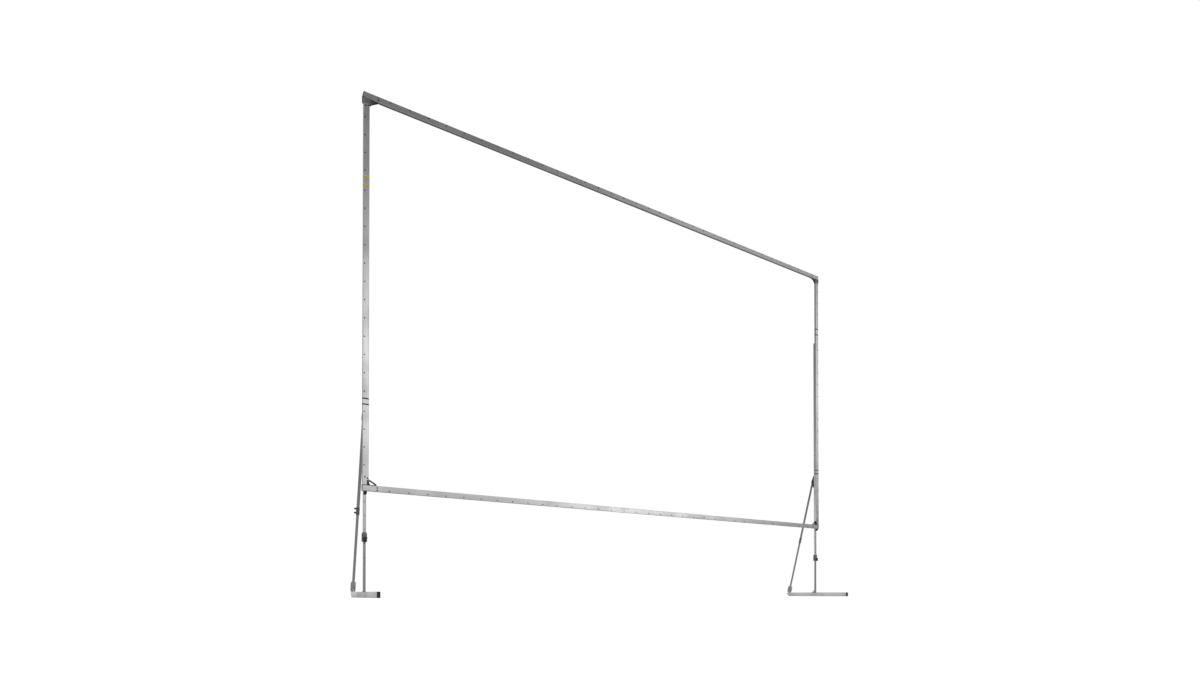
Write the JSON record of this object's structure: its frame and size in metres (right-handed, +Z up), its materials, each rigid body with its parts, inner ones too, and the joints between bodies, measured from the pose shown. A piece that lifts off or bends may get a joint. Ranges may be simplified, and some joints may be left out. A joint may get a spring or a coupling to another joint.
{
  "type": "portable projection screen frame",
  "caption": "Wide aluminium projection screen frame on two telescopic T-legs with rear braces, with press studs round its front for a button-on cloth.",
  "frame": {"origin": "on the floor, midway between the two feet and midway along them", "axes": "+X along the rails to the right as the audience sees it, +Y to the rear, where the braces are, +Z up"},
  "size_m": [7.4706, 1.233, 5.455],
  "materials": {
    "anodised_aluminium": "satin anodised, fine lengthwise extrusion lines",
    "dark_fitting": "dark powder coat",
    "brace_aluminium": "satin drawn tube",
    "black_plastic": "fine moulded grain"
  },
  "bodies": {
    "frame": {"bottom_left_corner": "dark_fitting", "bottom_rail_1": "anodised_aluminium", "bottom_rail_2": "anodised_aluminium", "bottom_rail_3": "anodised_aluminium", "bottom_rail_4": "anodised_aluminium", "bottom_rail_5": "anodised_aluminium", "bottom_rail_6": "anodised_aluminium", "bottom_right_corner": "dark_fitting", "left_brace_bracket": "dark_fitting", "left_collar": "dark_fitting", "left_lower_hanger": "dark_fitting", "left_mast": "anodised_aluminium", "left_mast_cap": "black_plastic", "left_rail_hook": "black_plastic", "left_upper_hanger": "dark_fitting", "left_upright_lower": "anodised_aluminium", "left_upright_middle": "anodised_aluminium", "left_upright_upper": "anodised_aluminium", "right_brace_bracket": "dark_fitting", "right_collar": "dark_fitting", "right_lower_hanger": "dark_fitting", "right_mast": "anodised_aluminium", "right_mast_cap": "black_plastic", "right_rail_hook": "black_plastic", "right_upper_hanger": "dark_fitting", "right_upright_lower": "anodised_aluminium", "right_upright_middle": "anodised_aluminium", "right_upright_upper": "anodised_aluminium", "top_left_corner": "dark_fitting", "top_rail_1": "anodised_aluminium", "top_rail_2": "anodised_aluminium", "top_rail_3": "anodised_aluminium", "top_rail_4": "anodised_aluminium", "top_rail_5": "anodised_aluminium", "top_rail_6": "anodised_aluminium", "top_right_corner": "dark_fitting"},
    "left_leg": {"left_leg_tube": "anodised_aluminium", "left_foot": "anodised_aluminium", "left_foot_cap": "black_plastic"},
    "left_collar_lever": {"left_collar_lever": "black_plastic"},
    "left_brace": {"left_brace_tube": "brace_aluminium", "left_brace_clamp": "dark_fitting"},
    "left_brace_rod": {"left_brace_rod": "brace_aluminium", "left_brace_fork": "dark_fitting"},
    "left_brace_knob_upper": {"left_brace_knob_upper": "black_plastic"},
    "left_brace_knob_lower": {"left_brace_knob_lower": "black_plastic"},
    "right_leg": {"right_leg_tube": "anodised_aluminium", "right_foot": "anodised_aluminium", "right_foot_cap": "black_plastic"},
    "right_collar_lever": {"right_collar_lever": "black_plastic"},
    "right_brace": {"right_brace_tube": "brace_aluminium", "right_brace_clamp": "dark_fitting"},
    "right_brace_rod": {"right_brace_rod": "brace_aluminium", "right_brace_fork": "dark_fitting"},
    "right_brace_knob_upper": {"right_brace_knob_upper": "black_plastic"},
    "right_brace_knob_lower": {"right_brace_knob_lower": "black_plastic"},
    "bottom_left_stay": {"bottom_left_stay": "dark_fitting"},
    "bottom_right_stay": {"bottom_right_stay": "dark_fitting"},
    "top_left_stay": {"top_left_stay": "dark_fitting"},
    "top_right_stay": {"top_right_stay": "dark_fitting"}
  },
  "joints": [
    {"name": "left_leg_height", "type": "slide", "parent": "frame", "child": "left_leg", "axis": [0, 0, -1], "range_m": [-0.15, 0.3]},
    {"name": "left_brace_swing", "type": "hinge", "parent": "frame", "child": "left_brace", "pos_m": [-3.692, 0.064, 1.95], "axis": [1, 0, 0], "range_deg": [-2.2, 1.1]},
    {"name": "left_brace_reach", "type": "slide", "parent": "left_brace", "child": "left_brace_rod", "axis": [0, 0.2632, -0.9648], "range_m": [-0.1452, 0.2903]},
    {"name": "left_collar_lever_swing", "type": "hinge", "parent": "frame", "child": "left_collar_lever", "pos_m": [-3.692, -0.0185, 0.645], "axis": [-1, 0, 0], "range_deg": [0, 110]},
    {"name": "left_brace_knob_upper_turn", "type": "hinge", "parent": "left_brace", "child": "left_brace_knob_upper", "pos_m": [-3.692, 0.32548, 0.99142], "axis": [-0.7071, 0.6822, 0.1861], "continuous": true},
    {"name": "left_brace_knob_lower_turn", "type": "hinge", "parent": "left_brace", "child": "left_brace_knob_lower", "pos_m": [-3.692, 0.33732, 0.948], "axis": [-0.7071, 0.6822, 0.1861], "continuous": true},
    {"name": "right_leg_height", "type": "slide", "parent": "frame", "child": "right_leg", "axis": [0, 0, -1], "range_m": [-0.15, 0.3]},
    {"name": "right_brace_swing", "type": "hinge", "parent": "frame", "child": "right_brace", "pos_m": [3.692, 0.064, 1.95], "axis": [1, 0, 0], "range_deg": [-2.2, 1.1]},
    {"name": "right_brace_reach", "type": "slide", "parent": "right_brace", "child": "right_brace_rod", "axis": [0, 0.2632, -0.9648], "range_m": [-0.1452, 0.2903]},
    {"name": "right_collar_lever_swing", "type": "hinge", "parent": "frame", "child": "right_collar_lever", "pos_m": [3.692, -0.0185, 0.645], "axis": [-1, 0, 0], "range_deg": [0, 110]},
    {"name": "right_brace_knob_upper_turn", "type": "hinge", "parent": "right_brace", "child": "right_brace_knob_upper", "pos_m": [3.692, 0.32548, 0.99142], "axis": [0.7071, 0.6822, 0.1861], "continuous": true},
    {"name": "right_brace_knob_lower_turn", "type": "hinge", "parent": "right_brace", "child": "right_brace_knob_lower", "pos_m": [3.692, 0.33732, 0.948], "axis": [0.7071, 0.6822, 0.1861], "continuous": true},
    {"name": "bottom_left_stay_swing", "type": "hinge", "parent": "frame", "child": "bottom_left_stay", "pos_m": [-3.6474, -0.0205, 1.261], "axis": [0, -1, 0], "range_deg": [0, 120]},
    {"name": "bottom_right_stay_swing", "type": "hinge", "parent": "frame", "child": "bottom_right_stay", "pos_m": [3.6474, -0.0205, 1.261], "axis": [0, 1, 0], "range_deg": [0, 120]},
    {"name": "top_left_stay_swing", "type": "hinge", "parent": "frame", "child": "top_left_stay", "pos_m": [-3.6474, -0.0205, 5.341], "axis": [0, 1, 0], "range_deg": [0, 120]},
    {"name": "top_right_stay_swing", "type": "hinge", "parent": "frame", "child": "top_right_stay", "pos_m": [3.6474, -0.0205, 5.341], "axis": [0, -1, 0], "range_deg": [0, 120]}
  ],
  "couplings": [
    {"joint": "left_brace_swing", "follows": "left_leg_height", "rad_per_m": -0.1278},
    {"joint": "left_brace_reach", "follows": "left_leg_height", "ratio": 0.967},
    {"joint": "right_brace_swing", "follows": "right_leg_height", "rad_per_m": -0.1278},
    {"joint": "right_brace_reach", "follows": "right_leg_height", "ratio": 0.967}
  ]
}
